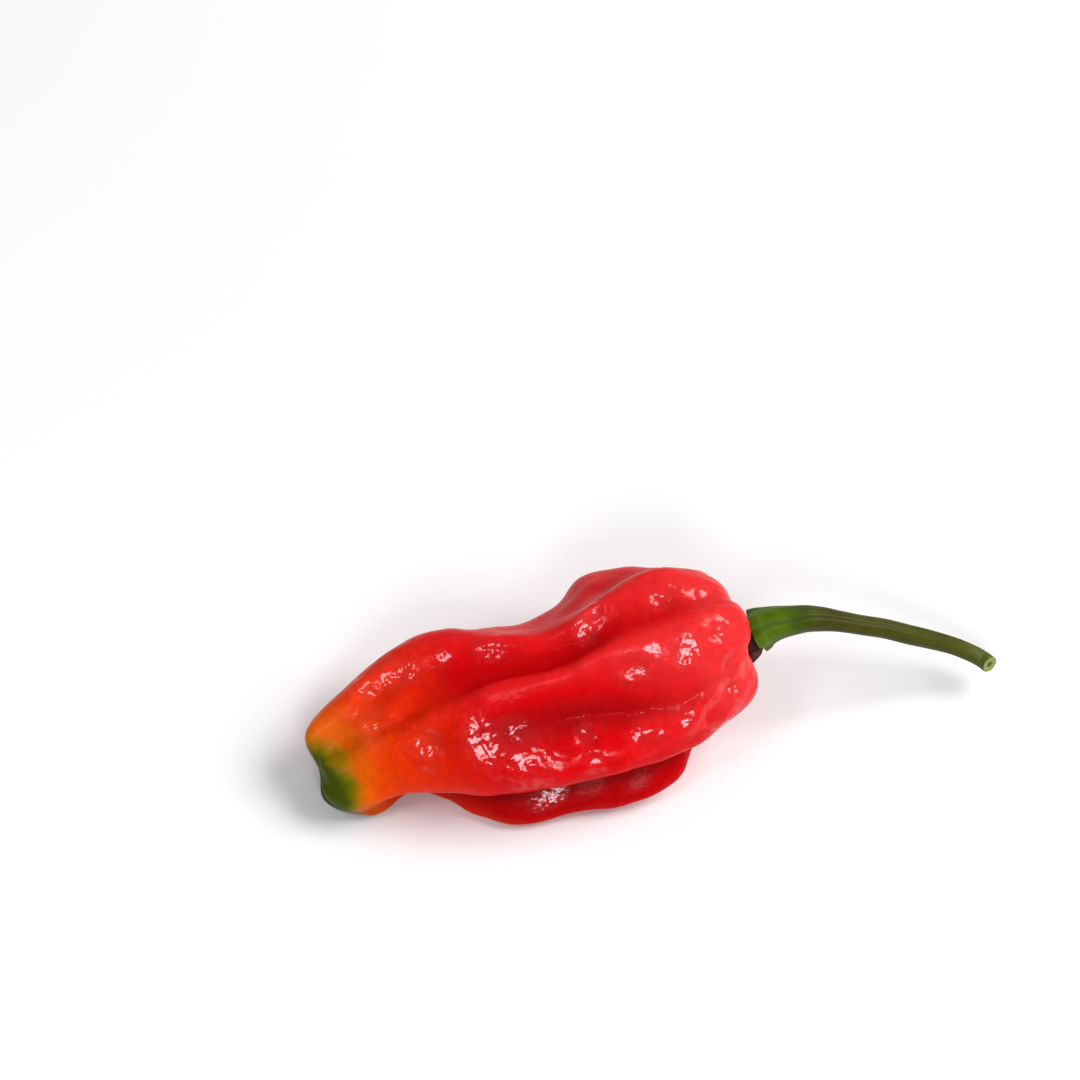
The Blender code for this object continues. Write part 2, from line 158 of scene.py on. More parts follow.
# The painted sheen (above 0) and painted shade (below 0) in the skin's colour along each feature
# line, near the tip, in the middle and at the shoulder, at these stations in mm.
SHEEN_AND_SHADE_STATIONS = (-42, -20, 5)
SHEEN_AND_SHADE = {
    "upper_ridge": (0.3, 0.9, 1.0),
    "upper_hollow": (0.1, -0.2, 0.9),
    "small_ridge": (0.1, -0.1, 0.5),
    "crease": (-0.1, -0.5, -0.1),
    "front_ridge": (0.1, 0.75, 1.0),
    "ridge_shoulder": (0.1, -0.1, 1.0),
    "front_hollow": (0.0, -0.8, 0.4),
    "front_shelf": (0.0, -0.2, 0.5),
    "front_bulge": (0.0, 0.2, 0.1),
    "front_brim": (-0.3, -0.3, -0.2),
    "front_groove": (-0.9, -0.9, -0.8),
    "low_lobe": (-0.8, -0.9, -0.6),
    "front_belly": (0.0, 0.0, 0.0),
    "belly_groove": (0.0, 0.0, 0.0),
    "back_belly": (0.2, 0.2, 0.2),
    "back_groove": (0.0, 0.0, 0.0),
    "back_lobe": (0.4, 0.4, 0.5),
    "top_groove": (0.4, 0.2, 0.2),
}
# Small flats in the skin: where each lies, in mm, how wide it is, and the azimuth and elevation
# that it faces, in degrees.
FLATS = (
    ((-30.0, -7.9, 19.5), 1.3, -17, 48),
    ((-30.6, -9.6, 17.8), 1.6, -15, 49),
    ((-29.8, -12.4, 15.7), 2.3, -14, 48),
    ((-25.4, -10.8, 18.1), 1.9, -16, 49),
    ((-23.9, -15.0, 15.1), 3.3, -15, 48),
    ((-14.6, -13.6, 17.4), 1.8, -14, 50),
    ((-14.4, -17.7, 14.4), 1.5, -16, 47),
    ((-6.5, -16.5, 17.1), 2.6, -14, 48),
    ((0.7, -16.3, 18.2), 2.0, -15, 49),
    ((8.6, -14.3, 18.9), 2.2, -13, 47),
    ((9.3, -11.4, 21.9), 1.6, -13, 48),
    ((5.2, -16.0, 16.6), 2.4, -13, 47),
    ((-6.3, -9.7, 23.8), 2.0, -15, 50),
    ((-2.5, -7.8, 26.2), 0.9, -15, 49),
    ((-10.9, -0.7, 23.7), 1.9, -16, 48),
    ((-9.0, 1.6, 26.1), 1.3, -15, 50),
    ((1.8, 0.2, 27.1), 2.0, -15, 48),
    ((-0.9, -0.8, 26.1), 1.1, -14, 49),
    ((6.7, -1.1, 26.5), 1.6, -15, 49),
    ((8.5, -7.8, 26.6), 1.7, -13, 48),
    ((3.1, -8.5, 26.7), 1.7, -15, 50),
    ((2.1, -10.3, 25.2), 1.6, -15, 48),
    ((-22.6, -15.8, 5.1), 1.5, -15, 46),
    ((-20.2, -15.9, 5.3), 1.4, -15, 49),
    ((-39.4, 5.2, 17.4), 1.9, -38, 59),
    ((-37.0, 3.8, 17.6), 1.4, -39, 60),
    ((-31.6, 4.4, 19.6), 1.3, -38, 60),
    ((-25.1, 2.8, 20.8), 1.9, -38, 59),
    ((-38.0, -7.9, 15.1), 2.6, -38, 58),
    ((-44.8, -1.1, 13.9), 2.2, -38, 60),
    ((-44.2, 5.0, 15.7), 1.6, -38, 60),
)
STEEPEST_FLAT = 0.44  # how far a flat may tilt from the skin, as a slope
FLAT_SINK = 0.25  # how deep a flat lies, as a share of its width times its slope
FLAT_GLOSS = 1.3  # how wide the gloss on a flat is, as a share of its width
# Broad patches of painted sheen: where each lies and how wide it is, in mm, and how much it adds.
SHEEN_PATCHES = (
    ((7.5, -10.2, 21.8), 4.0, 0.7),
    ((-8.5, 6.4, 24.3), 2.4, 0.7),
    ((-10.0, 0.5, 25.0), 2.0, 0.4),
)
# Painted sheen over the shoulder's broad face, where the soft lights' reflection lies.
SHOULDER_SHEEN = 0.6  # how much paler the shoulder is, past the two places that follow, in mm
SHOULDER_SHEEN_FROM, SHOULDER_SHEEN_FULL = 3.0, 9.0
# Sums of seeded waves in the skin, in mm: seed, how many, the shortest and the longest wave.
DIMPLE_WAVES = (11, 30, 4.5, 11.0)
RIPPLE_WAVES = (23, 60, 0.9, 2.6)
RIPENESS_WAVES = (5, 14, 3.0, 14.0)
SCAR_WAVES = (31, 24, 0.8, 2.4)
# Fine ribs on the shoulder: how many go round, how deep beside the first, and their phase.
SHOULDER_RIBS = ((17, 1.0, 0.7), (29, 0.7, 2.3), (11, 0.5, 0.0))
# Where the green tip lies, as a direction back and up, how much that distance counts beside the
# distance along the fruit, and how far the ripeness wanders, in mm.
GREEN_AWAY = (0.78, 0.57)
GREEN_AWAY_SHARE = 0.66
RIPENESS_WANDER = 0.35
RIPENESS_SPAN = 40.0  # mm from the green tip over which the colours run
UNDERSIDE_HEIGHT = 4.0  # mm under which the skin ripens later
UNDERSIDE_LAG = 0.55
SECTION_SOFTNESS = 0.7  # mm round the section over which its corners are softened
STATION_SOFTNESS = 1.5  # mm along the fruit over which its stations are softened

# Each rounded end: the x of its pole, how far it takes to close, how square it is, and the
# pole's place across the fruit.
TIP_X, TIP_LENGTH, TIP_SQUARENESS = -53.2, 6.5, 2.7
TIP_POLE = (-1.6, 7.2)
TIP_END = -54.4  # mm, the farthest that the tip reaches
SHOULDER_X, SHOULDER_LENGTH, SHOULDER_SQUARENESS = 12.7, 7.4, 3.2
SHOULDER_POLE = (-3.2, 17.0)
# How far the lobes reach past the pole at either end, in mm.
TIP_REACH = {
    "upper_ridge": 2.1,
    "crease": 0.0,
    "front_ridge": 0.7,
    "front_bulge": 1.9,
    "front_groove": 1.5,
    "low_lobe": 1.4,
    "front_belly": 1.0,
    "belly_groove": -0.4,
    "back_belly": -0.4,
    "back_groove": 0.7,
    "back_lobe": 1.8,
    "top_groove": 1.5,
}
SHOULDER_REACH = {
    "upper_ridge": 0.5,
    "crease": 1.2,
    "front_ridge": 1.6,
    "ridge_shoulder": 1.6,
    "front_hollow": 0.1,
    "front_shelf": 0.7,
    "front_bulge": 1.8,
    "front_brim": 1.2,
    "front_groove": 0.6,
    "low_lobe": 0.6,
    "back_lobe": 0.0,
}
REACH_SOFTNESS = 8.0  # degrees
SHEEN_AND_SHADE_SOFTNESS = 6.0  # degrees
POLE_ROUNDING = 0.4  # how quickly the folds fade towards a pole
POLE_SOFTNESS = 22.0  # degrees over which the folds are softened at a pole
SKIN_INSET = 0.23  # mm by which the dimpled skin lies inside the plain form
REST_SOFTNESS = 0.25  # mm over which the fruit bends into the flats it rests on

FRUIT_COLUMNS = 360
TIP_ROWS, BODY_ROWS, SHOULDER_ROWS = 36, 196, 40

# The stem's middle line: mm along the fruit, towards the back, and above the floor.
STEM_PATH = (
    (15.5, 16.9, 19.6, 22.6, 25.3, 28.2, 31.3, 35.1, 38.6, 42.3, 45.9, 48.4, 49.8, 50.4),
    (-3.3, -3.4, -4.0, -4.5, -4.9, -5.5, -6.2, -6.9, -7.8, -8.6, -9.5, -10.5, -11.7, -13.1),
    (16.85, 17.6, 18.6, 18.8, 18.2, 17.2, 15.9, 14.2, 12.4, 10.4, 8.3, 6.7, 6.1, 6.4),
)
# Its radius, in mm, at distances from the calyx, in mm.
STEM_DISTANCES = (0.0, 0.8, 2.2, 5.0, 8.0, 10.7, 13.8, 17.0, 26.0, 34.0, 41.5)
STEM_RADII = (3.25, 3.2, 2.8, 2.35, 2.05, 1.85, 1.6, 1.52, 1.5, 1.35, 1.33)
STEM_SHORTER = 0.2  # mm by which the rounded cut end lies inside the plain stem
STEM_COLUMNS = 120
STEM_ROWS = 300
STEM_CROWDING = 1.3  # how much closer the rows are at the calyx: 1 is evenly spaced
STEM_TWIST = 0.012  # radians that the ribs turn in each mm
STEM_RIBS = ((5, 0.6, 0.0), (13, 0.4, 1.0))  # how many go round, how deep, and their phase
CALYX_TEETH = 5
TOOTH_DEPTH = 0.1  # share of the calyx radius
TOOTH_FADE = 2.0  # mm along the stem over which the teeth fade
# The cut end, from its rim to its middle: shares of the radius, and mm past the stem's last row.
CUT_PROFILE = (
    (0.96, 0.9, 0.8, 0.66, 0.5, 0.34, 0.2, 0.08, 0.0),
    (0.10, 0.14, 0.14, 0.12, 0.09, 0.02, -0.05, -0.08, -0.09),
)

# The scar: the x of its back, its middle, its radius, and its tail's direction and size.
SCAR_BACK = 13.55
SCAR_GAP = 0.34  # mm between its front and the calyx
SCAR_EDGE = 0.5  # mm that it is thick at its rim
SCAR_MIDDLE = (-3.3, 15.4)
SCAR_RADIUS = 2.9
# Waves round its rim: how many, mm deep, and their phase.
SCAR_RIM_WAVES = ((3, 0.16, 0.4), (7, 0.12, 2.1), (17, 0.08, 0.0), (31, 0.05, 1.0))
SCAR_FULL, SCAR_FADE = 2.65, 5.45  # mm from the calyx's middle where it starts and ends thinning
SCAR_ROUGHNESS = 0.1  # mm
SCAR_TAIL_ANGLE = 148.0  # degrees from the top towards the front
SCAR_TAIL_LENGTH = 2.2
SCAR_TAIL_WIDTH = 24.0
SCAR_COLUMNS = 240


def slopes(x, y, level_ends=True):
    """The slope at each point of y over x, along the last axis: the weighted harmonic mean of
    the slopes on either side, and 0 at each highest and lowest point, so that a curve through
    the points doesn't overshoot."""
    step = np.diff(x)
    secant = np.diff(y) / step
    before, after = secant[..., :-1], secant[..., 1:]
    near = 2 * step[..., 1:] + step[..., :-1]
    far = step[..., 1:] + 2 * step[..., :-1]
    same_way = before * after > 0
    before = np.where(same_way, before, 1.0)
    after = np.where(same_way, after, 1.0)
    inner = np.where(same_way, (near + far) / (near / before + far / after), 0.0)
    ends = 0 if level_ends else 1
    return np.concatenate([ends * secant[..., :1], inner, ends * secant[..., -1:]], axis=-1)


def hermite(share, span, low, high, low_slope, high_slope):
    """The cubic between two values with given slopes, at a share of the span between them."""
    square, cube = share**2, share**3
    return (
        (2 * cube - 3 * square + 1) * low
        + (cube - 2 * square + share) * span * low_slope
        + (3 * square - 2 * cube) * high
        + (cube - square) * span * high_slope
    )


def smooth_through(x, y, at, level_ends=True):
    """A smooth curve through y over x, along the last axis, read at each place in at."""
    slope = slopes(x, y, level_ends)
    at = np.clip(at, x[0], x[-1])
    i = np.clip(np.searchsorted(x, at, side="right") - 1, 0, len(x) - 2)
    span = x[i + 1] - x[i]
    share = (at - x[i]) / span
    return hermite(share, span, y[..., i], y[..., i + 1], slope[..., i], slope[..., i + 1])


def smooth_step(value, low, high):
    """0 below low, 1 above high, and the cubic 3t^2 - 2t^3 between them."""
    t = np.clip((value - low) / (high - low), 0, 1)
    return t * t * (3 - 2 * t)


def soften(rows, degrees):
    """Each row, which runs once round the fruit, blurred by a bell curve this many degrees wide:
    one width for all of them, or a column with one for each."""
    count = rows.shape[-1]
    waves = np.fft.rfftfreq(count, 1 / count)
    fade = np.exp(-0.5 * (waves * np.radians(degrees)) ** 2)
    return np.fft.irfft(np.fft.rfft(rows) * fade, count)


def waves_field(points, seed, count, shortest, longest):
    """A smooth random field over points in mm: the mean of count plane waves with seeded
    directions, phases, and lengths between the shortest and the longest, scaled to about 1."""
    random = np.random.default_rng(seed)
    direction = random.normal(size=(count, 3))
    direction /= np.linalg.norm(direction, axis=1, keepdims=True)
    length = np.exp(random.uniform(np.log(shortest), np.log(longest), count))
    phase = random.uniform(0, 2 * np.pi, count)
    total = np.zeros(points.shape[:-1])
    for d, l, p in zip(direction, length, phase):
        total += np.sin(points @ (d * 2 * np.pi / l) + p)
    return total * np.sqrt(2 / count)


def feature_lines(x):
    """Angle from the top towards the front and radius of every feature line at each x, and the
    middle line there."""
    stations = np.array(STATIONS, float)
    middle = np.array(MIDDLE)
    offset = np.array(list(FEATURES.values())) - middle
    angle = np.arctan2(-offset[:, 0], offset[:, 1])
    first = np.unwrap(angle[0])
    angle = first + (angle - first) % (2 * np.pi)
    radius = np.hypot(offset[:, 0], offset[:, 1])

    def read(values):
        near = smooth_through(stations, values, x - STATION_SOFTNESS)
        far = smooth_through(stations, values, x + STATION_SOFTNESS)
        return (near + 2 * smooth_through(stations, values, x) + far) / 4

    return read(angle), read(radius), read(middle)


def section_radius(angle, radius, columns):
    """Each section's radius in each column's direction: for every row, the smooth curve through
    the feature lines' radii over their angles, carried on past a full turn at both ends."""
    turn = 2 * np.pi
    angle, radius = angle.T, radius.T
    angle = np.concatenate([angle[:, -2:] - turn, angle, angle[:, :2] + turn], axis=1)
    radius = np.concatenate([radius[:, -2:], radius, radius[:, :2]], axis=1)
    first = angle[:, 2:3]
    at = first + (columns - first) % turn
    i = (angle[:, None, :] <= at[..., None]).sum(axis=-1) - 1
    slope = slopes(angle, radius)

    def pick(values, where):
        return np.take_along_axis(values, where, axis=1)

    span = pick(angle, i + 1) - pick(angle, i)
    share = (at - pick(angle, i)) / span
    return hermite(
        share, span, pick(radius, i), pick(radius, i + 1), pick(slope, i), pick(slope, i + 1)
    )


def reach_round(reach, angle, columns):
    """How far the end reaches along X in each column's direction."""
    values = np.array([reach.get(name, 0.0) for name in FEATURES])
    turned = angle % (2 * np.pi)
    order = np.argsort(turned)
    reached = np.interp(columns, turned[order], values[order], period=2 * np.pi)
    return soften(reached, REACH_SOFTNESS)


def end_profile(length, squareness, rows):
    """Distance from the pole along the fruit, and share of the full section, from the pole: a
    quarter of a superellipse, |1 - along / length|^n + share^n = 1."""
    turn = np.linspace(0, np.pi / 2, rows + 1)
    along = length * (1 - np.cos(turn))
    share = (1 - np.cos(turn) ** squareness) ** (1 / squareness)
    return along, share


def grid_normals(grid):
    """Unit outward normals of a grid whose rows are closed rings: the cross product of the
    differences round the ring and along the rows."""
    round_ring = np.roll(grid, -1, axis=1) - np.roll(grid, 1, axis=1)
    along = np.gradient(grid, axis=0)
    normal = np.cross(round_ring, along)
    length = np.linalg.norm(normal, axis=-1, keepdims=True)
    return normal / np.maximum(length, 1e-12)


def fruit_grid():
    """The fruit's surface as rows of points in mm from the tip's pole to the shoulder's, and the
    share of the full section in each row.

    At x along the fruit and angle a from the top towards the front, the point is
    middle + R(x, a) * (-sin a, cos a). R passes smoothly through the feature lines. At either
    end R shrinks as a superellipse does, its folds fade, and each lobe reaches its own way."""
    tip_along, tip_share = end_profile(TIP_LENGTH, TIP_SQUARENESS, TIP_ROWS)
    end_along, end_share = end_profile(SHOULDER_LENGTH, SHOULDER_SQUARENESS, SHOULDER_ROWS)
    tip_x = TIP_X + tip_along
    end_x = SHOULDER_X - end_along[::-1]
    body_x = np.linspace(tip_x[-1], end_x[0], BODY_ROWS)[1:-1]
    x = np.concatenate([tip_x, body_x, end_x])
    share = np.concatenate([tip_share, np.ones(len(body_x)), end_share[::-1]])[:, None]

    columns = np.arange(FRUIT_COLUMNS) * 2 * np.pi / FRUIT_COLUMNS
    angle, radius, middle = feature_lines(x)
    section = section_radius(angle, radius, columns)
    mean = section.mean(axis=1, keepdims=True)
    section = soften(section, np.degrees(SECTION_SOFTNESS / mean))
    fold = section - mean
    near_pole = soften(fold, POLE_SOFTNESS)
    fold = (near_pole + (fold - near_pole) * share**2) * share**POLE_ROUNDING
    section = share * (mean + fold)

    at_tip = (x < 0)[:, None]
    pole = np.where(at_tip, np.array(TIP_POLE), np.array(SHOULDER_POLE))
    middle = pole + (middle.T - pole) * share
    tip_reach = -reach_round(TIP_REACH, angle[:, 0], columns)
    end_reach = reach_round(SHOULDER_REACH, angle[:, -1], columns)
    swell = 6.75 * share**2 * (1 - share)

    grid = np.empty((len(x), FRUIT_COLUMNS, 3))
    grid[..., 0] = x[:, None] + swell * np.where(at_tip, tip_reach, end_reach)
    grid[..., 1] = middle[:, :1] - section * np.sin(columns)
    grid[..., 2] = middle[:, 1:] + section * np.cos(columns)
    # The painted sheen and painted shade of each feature line, carried round each section.
    sheen_and_shade = smooth_through(np.array(SHEEN_AND_SHADE_STATIONS, float), np.array(list(SHEEN_AND_SHADE.values())), x)
    sheen_and_shade = soften(section_radius(angle, sheen_and_shade, columns), SHEEN_AND_SHADE_SOFTNESS)
    return grid, share, fold, sheen_and_shade


def direction(azimuth, elevation):
    """The unit vector towards a place at this azimuth and elevation, in degrees, where azimuth 0
    is in front, at -Y, and grows towards +X."""
    a, e = np.radians(azimuth), np.radians(elevation)
    return np.array((np.sin(a) * np.cos(e), -np.cos(a) * np.cos(e), np.sin(e)))


def flats(grid, normal):
    """How far the small flats move the skin along its normal: round each flat's middle a plane,
    tilted so that the skin there turns to face its direction, and sunk a little, under a bell
    curve."""
    shift = np.zeros(grid.shape[:2])
    cover = np.zeros(grid.shape[:2])
    for place, width, azimuth, elevation in FLATS:
        away = grid - place
        squared = (away**2).sum(axis=-1)
        middle = np.unravel_index(np.argmin(squared), squared.shape)
        face, out = direction(azimuth, elevation), normal[middle]
        tilt = face / (face @ out) - out
        steep = np.linalg.norm(tilt)
        tilt *= min(1.0, STEEPEST_FLAT / steep)
        bell = np.exp(-((squared / width**2) ** 1.5))
        sunk = FLAT_SINK * width * min(steep, STEEPEST_FLAT)
        shift -= bell * ((grid - grid[middle]) @ tilt + sunk)
        cover += np.exp(-squared / (FLAT_GLOSS * width) ** 2)
    return shift, np.minimum(cover, 1)


def shoulder_ribs(grid):
    """Fine ribs that run out from the calyx over the shoulder: a sum of three cosines of the
    angle round the shoulder's pole, faded in past the calyx and out down the sides."""
    across = grid[..., 1] - SHOULDER_POLE[0]
    height = grid[..., 2] - SHOULDER_POLE[1]
    away = np.hypot(across, height)
    turn = np.arctan2(-across, height)
    ribs = sum(depth * np.cos(count * turn + phase) for count, depth, phase in SHOULDER_RIBS)
    near = smooth_step(grid[..., 0], 4.0, 10.5) * smooth_step(away, 2.0, 5.0)
    return ribs * near


def press_flat(grid):
    """Heights under the floor bent up to it: (z + sqrt(z^2 + s^2)) / 2."""
    z = grid[..., 2]
    grid[..., 2] = (z + np.sqrt(z**2 + REST_SOFTNESS**2)) / 2


def add_sheen_and_shade(grid, sheen_and_shade):
    """The painted sheen and shade along the feature lines, with more painted sheen over the
    shoulder and in the broad patches, each of which fades as exp(-(d/width)^4)."""
    sheen_and_shade = sheen_and_shade + SHOULDER_SHEEN * smooth_step(grid[..., 0], SHOULDER_SHEEN_FROM, SHOULDER_SHEEN_FULL)
    for place, width, more in SHEEN_PATCHES:
        squared = ((grid - place) ** 2).sum(axis=-1) / width**2
        sheen_and_shade += more * np.exp(-(squared**2))
    return sheen_and_shade


def ripeness_of(grid):
    """Distance in mm from the unripe tip: along the fruit, and up and back from its green lobe,
    less on the underside, with a little seeded wander."""
    along = grid[..., 0] - TIP_END
    away = np.maximum(grid[..., 1:] @ GREEN_AWAY, 0)
    distance = np.hypot(along, GREEN_AWAY_SHARE * away)
    under = smooth_step(UNDERSIDE_HEIGHT - grid[..., 2], 0, UNDERSIDE_HEIGHT)
    distance = distance * (1 - UNDERSIDE_LAG * under)
    return distance + RIPENESS_WANDER * waves_field(grid, *RIPENESS_WAVES)


def stem_grid(rib_depth):
    """Rows of points round the stem's middle line, from the calyx's underside to the cut end.

    At distance d along the middle line and angle a round it, the point is
    centre(d) + r(d, a) * (side * sin a + up * cos a), where r is the plain radius swollen by
    cosines of a for the ribs and, near the calyx, for its teeth. The cut end closes over a
    rounded rim to a slightly sunken pith."""
    path = np.array(STEM_PATH)
    distance = np.concatenate([[0], np.cumsum(np.linalg.norm(np.diff(path), axis=0))])
    at = (distance[-1] - STEM_SHORTER) * np.linspace(0, 1, STEM_ROWS) ** STEM_CROWDING
    centre = smooth_through(distance, path, at, level_ends=False).T
    along = np.gradient(centre, at, axis=0)
    along /= np.linalg.norm(along, axis=1, keepdims=True)
    side = np.cross(along, (0, 0, 1))
    side /= np.linalg.norm(side, axis=1, keepdims=True)
    up = np.cross(side, along)

    plain = smooth_through(np.array(STEM_DISTANCES), np.array(STEM_RADII), at)
    turn = np.arange(STEM_COLUMNS) * 2 * np.pi / STEM_COLUMNS
    twist = turn + STEM_TWIST * at[:, None]
    teeth = TOOTH_DEPTH * np.exp(-at / TOOTH_FADE)[:, None] * np.cos(CALYX_TEETH * turn)
    rib = sum(depth * np.cos(count * twist + phase) for count, depth, phase in STEM_RIBS)
    radius = plain[:, None] * (1 + teeth + rib_depth * rib)
    out = side[:, None] * np.sin(turn)[:, None] + up[:, None] * np.cos(turn)[:, None]
    body = centre[:, None] + radius[..., None] * out

    shares, depth = np.array(CUT_PROFILE)
    face = (
        centre[-1]
        + shares[:, None, None] * radius[-1][:, None] * out[-1]
        + depth[:, None, None] * along[-1]
    )
    base_shares = np.array((0.0, 0.4, 0.8))
    base = centre[0] + base_shares[:, None, None] * radius[0][:, None] * out[0]
    grid = np.concatenate([base, body, face])

    rows = [len(base), len(body), len(face)]
    fill = np.ones(STEM_COLUMNS)
    share_along = np.concatenate([np.zeros(rows[0]), at / at[-1], np.ones(rows[2])])
    cut = np.concatenate([np.zeros(rows[0] + rows[1]), 1 - shares])
    before, after = (np.zeros((count, STEM_COLUMNS)) for count in (rows[0], rows[2]))
    under = np.concatenate([before, -out[..., 2], after])
    ribs = np.concatenate([before, rib, after])
    return grid, {
        "along": share_along[:, None] * fill,
        "cut": cut[:, None] * fill,
        "under": under,
        "rib": ribs,
    }


def scar_grid():
    """A plug across X with a ragged rim: its radius is a circle's, plus a bell-shaped tail at one
    angle, plus short waves round the rim. Its back is upright. Its front lies along the
    calyx's tilted underside, a gap away, and past the calyx it falls back to a thin edge."""
    turn = np.arange(SCAR_COLUMNS) * 2 * np.pi / SCAR_COLUMNS
    off = (np.degrees(turn) - SCAR_TAIL_ANGLE + 180) % 360 - 180
    rim = SCAR_RADIUS + SCAR_TAIL_LENGTH * np.exp(-((off / SCAR_TAIL_WIDTH) ** 2))
    for count, depth, phase in SCAR_RIM_WAVES:
        rim += depth * np.cos(count * turn + phase)
    middle, ahead = np.array(STEM_PATH).T[:2]
    axis = (ahead - middle) / np.linalg.norm(ahead - middle)

    shares = np.concatenate([np.linspace(0, 0.9, 12), [0.96, 1.0, 0.96], np.linspace(0.9, 0, 24)])
    heights = np.concatenate([np.zeros(12), [0.2, 0.5, 0.8], np.ones(24)])
    radius = shares[:, None] * rim
    grid = np.zeros((len(shares), SCAR_COLUMNS, 3))  # at x 0 until its roughness has been read
    grid[..., 1] = SCAR_MIDDLE[0] - radius * np.sin(turn)
    grid[..., 2] = SCAR_MIDDLE[1] + radius * np.cos(turn)
    away = grid[..., 1:] - middle[1:]
    front = middle[0] - (away @ axis[1:] + SCAR_GAP) / axis[0]
    distance = np.linalg.norm(away, axis=-1)
    inside = 1 - smooth_step(distance, SCAR_FULL, SCAR_FADE)
    edge = SCAR_BACK + SCAR_EDGE
    front = edge + np.maximum(front - edge, 0) * inside
    roughness = SCAR_ROUGHNESS * waves_field(grid, *SCAR_WAVES) * shares[:, None]
    grid[..., 0] = SCAR_BACK + heights[:, None] * (front - SCAR_BACK) - np.abs(roughness)
    grid[..., 0] += (1 - heights[:, None]) * np.abs(roughness)
    return grid


def closed_mesh(name, grid, attributes=None):
    """A mesh over rows of points in mm, each a closed ring but the first and last, which are one
    point each. attributes are named values with one number for each point of the grid."""
    rows, count = grid.shape[0] - 2, grid.shape[1]
    points = (grid - ORIGIN) * MM
    flat = np.concatenate([points[0, :1], points[1:-1].reshape(-1, 3), points[-1, :1]])
    ring = np.arange(count)
    after = (ring + 1) % count
    body = 1 + np.arange(rows)[:, None] * count
    low, high = body[:-1], body[1:]
    quads = np.stack([low + ring, low + after, high + after, high + ring], axis=-1)
    quads = quads.reshape(-1, 4)
    first = np.stack([np.zeros(count, int), 1 + after, 1 + ring], axis=-1)
    tail = body[-1, 0]
    last = np.stack([np.full(count, len(flat) - 1), tail + ring, tail + after], axis=-1)

    mesh = bpy.data.meshes.new(name)
    mesh.vertices.add(len(flat))
    mesh.vertices.foreach_set("co", flat.ravel())
    corners = np.concatenate([quads.ravel(), first.ravel(), last.ravel()]).astype(np.int32)
    sizes = np.concatenate([np.full(len(quads), 4), np.full(2 * count, 3)])
    mesh.loops.add(len(corners))
    mesh.loops.foreach_set("vertex_index", corners)
    mesh.polygons.add(len(sizes))
    mesh.polygons.foreach_set("loop_start", np.concatenate([[0], np.cumsum(sizes)[:-1]]))
    mesh.polygons.foreach_set("use_smooth", np.ones(len(sizes), bool))
    mesh.update(calc_edges=True)
    mesh.validate()
    for key, values in (attributes or {}).items():
        layer = mesh.attributes.new(key, "FLOAT", "POINT")
        values = np.concatenate([values[0, :1], values[1:-1].ravel(), values[-1, :1]])
        layer.data.foreach_set("value", values)
    return mesh


def add_piece(mesh, material, node):
    """Puts the mesh in the scene as the piece that stands for a node of the frame."""
    piece = bpy.data.objects.new(mesh.name, mesh)
    bpy.context.scene.collection.objects.link(piece)
    mesh.materials.append(material)
    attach(piece, "root")
    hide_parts(node)


class Nodes:
    """Adds nodes to a material and links them, each placed one column on from the last."""

    def __init__(self, material):
        material.use_nodes = True
        self.tree = material.node_tree
        self.shader = self.tree.nodes["Principled BSDF"]
        self.count = 0

    def add(self, kind, inputs=(), **settings):
        node = self.tree.nodes.new(kind)
        node.location = (-1800 + 180 * (self.count % 9), 500 - 300 * (self.count // 9))
        self.count += 1
        for key, value in settings.items():
            setattr(node, key, value)
        for key, value in dict(inputs).items():
            self.put(node.inputs[key], value)
        return node

    def put(self, socket, value):
        if isinstance(value, bpy.types.NodeSocket):
            self.tree.links.new(value, socket)
        else:
            socket.default_value = value

    def attribute(self, name):
        return self.add("ShaderNodeAttribute", attribute_name=name).outputs["Fac"]

    def place(self):
        return self.add("ShaderNodeTexCoord").outputs["Object"]

    def noise(self, place, size, detail=2.0, roughness=0.5):
        """Noise whose blobs are about size metres across."""
        inputs = {"Vector": place, "Scale": 1 / size, "Detail": detail, "Roughness": roughness}
        return self.add("ShaderNodeTexNoise", inputs).outputs["Fac"]

    def ramp(self, value, stops):
        node = self.add("ShaderNodeValToRGB", {"Fac": value})
        elements = node.color_ramp.elements
        while len(elements) < len(stops):
            elements.new(0.5)
        for element, (position, colour) in zip(elements, stops):
            element.position = position
            element.color = (*colour, 1.0) if len(colour) == 3 else colour
        return node.outputs["Color"]

    def math(self, operation, *values, clamp=False):
        node = self.add("ShaderNodeMath", operation=operation, use_clamp=clamp)
        for socket, value in zip(node.inputs, values):
            self.put(socket, value)
        return node.outputs["Value"]

    def map_range(self, value, low, high, to_low=0.0, to_high=1.0, smooth=True):
        inputs = {"Value": value, "From Min": low, "From Max": high}
        inputs |= {"To Min": to_low, "To Max": to_high}
        kind = "SMOOTHSTEP" if smooth else "LINEAR"
        node = self.add("ShaderNodeMapRange", inputs, interpolation_type=kind)
        return node.outputs["Result"]

    def mix(self, factor, first, second, blend="MIX"):
        node = self.add("ShaderNodeMix", data_type="RGBA", blend_type=blend)
        self.put(node.inputs["Factor"], factor)
        self.put(node.inputs[6], first)
        self.put(node.inputs[7], second)
        return node.outputs[2]

    def bump(self, height, distance):
        inputs = {"Height": height, "Distance": distance, "Strength": 1.0}
        return self.add("ShaderNodeBump", inputs).outputs["Normal"]


def colour(value):
    return (*value, 1.0)


